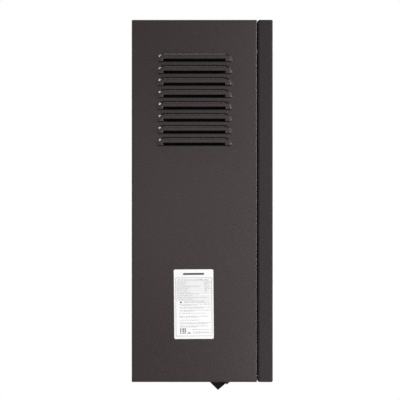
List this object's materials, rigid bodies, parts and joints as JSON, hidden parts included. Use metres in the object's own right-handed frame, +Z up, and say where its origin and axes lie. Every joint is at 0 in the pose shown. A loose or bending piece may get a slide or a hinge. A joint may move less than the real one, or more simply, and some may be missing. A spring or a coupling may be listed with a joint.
{
  "type": "wall-hung electric boiler",
  "caption": "Wall-hung electric boiler: louvred steel casing, pull-off front cover with controls, heating tank, pump, expansion vessel, and a black service pod below.",
  "frame": {"origin": "middle of the wall bracket's screw line, on the wall's face", "axes": "+Z up along the casing's height; +Y into the wall, so -Y is the front; +X to the right of someone who faces the cover"},
  "size_m": [0.405, 0.268, 0.7055],
  "materials": {
    "paint": "fine-textured semi-gloss powder coat",
    "zinc": "galvanised",
    "steel": "satin stainless",
    "black_steel": "black heat-resistant paint",
    "rod": "dull alloy sheath",
    "brass": "satin",
    "copper": "satin copper",
    "black_plastic": "fine-grained",
    "gloss_black": "glossy",
    "lens": "smoked clear plastic",
    "clear": "clear plastic",
    "button": "satin",
    "clip": "black nylon",
    "board": "solder-masked",
    "relay": "glossy",
    "terminal": "moulded",
    "ceramic": "glazed ceramic",
    "jacket": "closed-cell foam",
    "vessel": "graphite enamel",
    "hose": "braided",
    "pump": "black paint",
    "motor": "dark blue paint",
    "pale": "satin",
    "red": "glossy",
    "lever": "dipped coating",
    "wire": "insulated",
    "label": "satin film"
  },
  "bodies": {
    "casing": {"wall_bracket": "zinc", "back_panel": "zinc", "left_side_panel": "paint", "right_side_panel": "paint", "top_panel": "paint", "bottom_panel": "zinc", "rating_label": "label", "cover_clips": "clip", "heat_tank": "black_steel", "tank_jacket": "jacket", "tank_frame": "zinc", "tank_straps": "steel", "heater_flange": "steel", "heater_bolts": "black_steel", "heater_rods": "rod", "heater_insulators": "ceramic", "expansion_vessel": "vessel", "vessel_clips": "zinc", "vessel_hose": "hose", "pump_body": "pump", "pump_motor": "motor", "pump_terminal_box": "black_plastic", "pipe_nuts": "brass", "return_manifold": "brass", "pump_pipe": "copper", "flow_tee": "brass", "flow_pipe": "copper", "pipe_connectors": "brass", "safety_valve": "brass", "drain_valve": "brass", "air_vent": "brass", "electronics_plate": "zinc", "control_board": "board", "power_relays": "relay", "terminal_block": "terminal", "limit_thermostat": "black_plastic", "cable_gland": "black_plastic", "switch_pod": "black_plastic", "rocker_frame": "black_plastic", "pressure_gauge": "gloss_black", "gauge_lens": "clear", "heater_wires": "wire", "gauge_tube": "copper"},
    "front_cover": {"front_cover": "paint", "cover_studs": "steel", "control_housing": "black_plastic", "control_fascia": "gloss_black", "display_lens": "lens", "display_board": "board"},
    "power_button": {"button_power": "button"},
    "mode_button": {"button_mode": "button"},
    "down_button": {"button_down": "button"},
    "up_button": {"button_up": "button"},
    "rocker": {"rocker": "gloss_black"},
    "needle": {"gauge_needle": "red"},
    "relief_knob": {"safety_valve_knob": "red"},
    "drain_handle": {"drain_lever": "lever"},
    "reset_button": {"reset_button": "red"},
    "pump_shaft": {"pump_rotor": "steel"},
    "speed_knob": {"pump_speed_knob": "pale"}
  },
  "joints": [
    {"name": "cover_pull", "type": "slide", "parent": "casing", "child": "front_cover", "axis": [0, -1, 0], "range_m": [0, 0.3]},
    {"name": "power_press", "type": "slide", "parent": "front_cover", "child": "power_button", "axis": [0, 1, 0], "range_m": [0, 0.0008], "stiffness_N_per_m": 1200, "springref_m": -0.0006},
    {"name": "mode_press", "type": "slide", "parent": "front_cover", "child": "mode_button", "axis": [0, 1, 0], "range_m": [0, 0.0008], "stiffness_N_per_m": 1200, "springref_m": -0.0006},
    {"name": "down_press", "type": "slide", "parent": "front_cover", "child": "down_button", "axis": [0, 1, 0], "range_m": [0, 0.0008], "stiffness_N_per_m": 1200, "springref_m": -0.0006},
    {"name": "up_press", "type": "slide", "parent": "front_cover", "child": "up_button", "axis": [0, 1, 0], "range_m": [0, 0.0008], "stiffness_N_per_m": 1200, "springref_m": -0.0006},
    {"name": "rocker_tilt", "type": "hinge", "parent": "casing", "child": "rocker", "pos_m": [0.03, -0.19311, -0.61107], "axis": [1, 0, 0], "range_deg": [-16, 0]},
    {"name": "needle_turn", "type": "hinge", "parent": "casing", "child": "needle", "pos_m": [-0.028, -0.19311, -0.61107], "axis": [0, 0.6428, 0.766], "range_deg": [0, 270], "stiffness_Nm_per_rad": 0.0002, "springref_deg": -17.19},
    {"name": "relief_turn", "type": "hinge", "parent": "casing", "child": "relief_knob", "pos_m": [0.125, -0.1222, -0.5498], "axis": [0, 1, 0], "range_deg": [0, 90]},
    {"name": "drain_turn", "type": "hinge", "parent": "casing", "child": "drain_handle", "pos_m": [0.086, -0.0762, -0.5638], "axis": [0, -1, 0], "range_deg": [0, 90]},
    {"name": "reset_press", "type": "slide", "parent": "casing", "child": "reset_button", "axis": [0, 1, 0], "range_m": [0, 0.002], "stiffness_N_per_m": 800, "springref_m": -0.001},
    {"name": "pump_spin", "type": "hinge", "parent": "casing", "child": "pump_shaft", "pos_m": [0.125, -0.0592, -0.4448], "axis": [0, 1, 0], "continuous": true},
    {"name": "speed_turn", "type": "hinge", "parent": "casing", "child": "speed_knob", "pos_m": [0.071, -0.1472, -0.4448], "axis": [0, 1, 0], "range_deg": [0, 120]}
  ]
}
